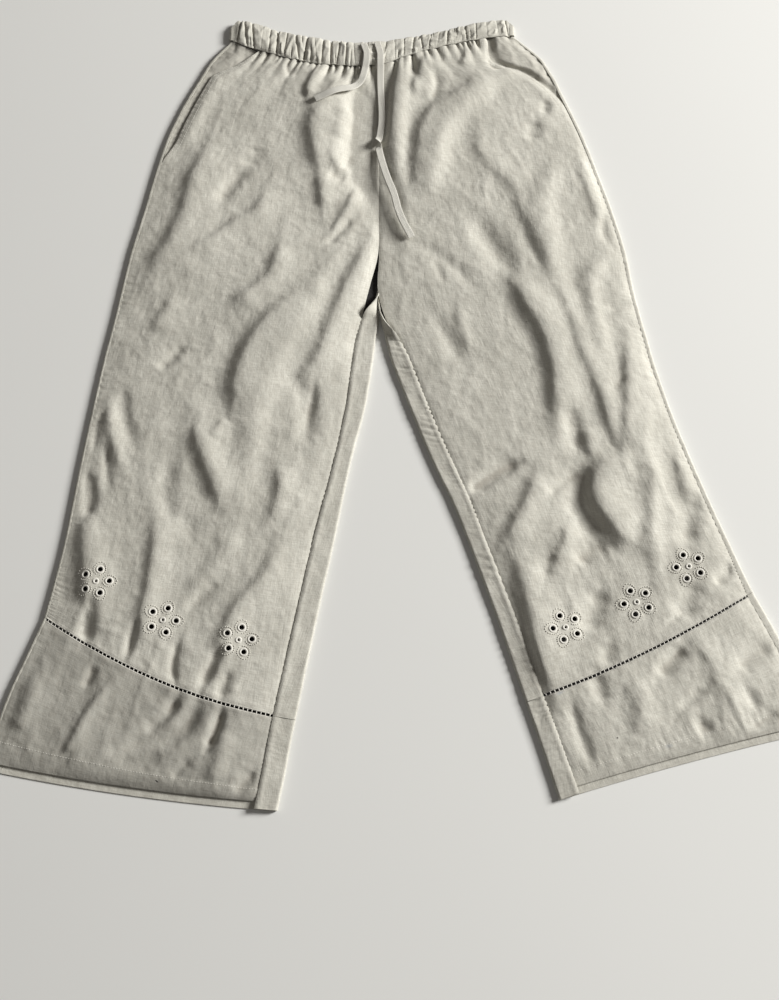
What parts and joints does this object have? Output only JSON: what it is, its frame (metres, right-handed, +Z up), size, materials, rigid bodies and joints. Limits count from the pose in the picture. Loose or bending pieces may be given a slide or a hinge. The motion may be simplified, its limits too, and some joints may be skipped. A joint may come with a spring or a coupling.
{
  "type": "drawstring cropped trousers",
  "caption": "Cropped wide-leg trousers laid flat, with a gathered drawstring waist, slant pockets, eyelet flowers and a wide hem band joined by an openwork line on each leg.",
  "frame": {"origin": "centre of the outline on the floor, without the drawstring ends", "axes": "+Z up from the floor, +Y from the hems to the waist, +X to the wearer's left"},
  "size_m": [0.8478, 0.9374, 0.0129],
  "materials": {
    "front_cloth": "matt linen-look weave, oatmeal",
    "back_cloth": "matt linen-look weave, oatmeal",
    "pocket_cloth": "matt linen-look weave, oatmeal",
    "casing_cloth": "matt linen-look weave, gathered",
    "tape": "flat matt tape"
  },
  "bodies": {
    "root": {"front_right_leg": "front_cloth", "front_left_leg": "front_cloth", "front_right_hem_band": "front_cloth", "front_left_hem_band": "front_cloth", "back_right_leg": "back_cloth", "back_left_leg": "back_cloth", "back_right_hem_band": "back_cloth", "back_left_hem_band": "back_cloth", "pocket_facing_right": "pocket_cloth", "pocket_facing_left": "pocket_cloth", "waistband_front": "casing_cloth", "waistband_back": "casing_cloth", "drawstring_right": "tape", "drawstring_left": "tape"}
  },
  "joints": []
}
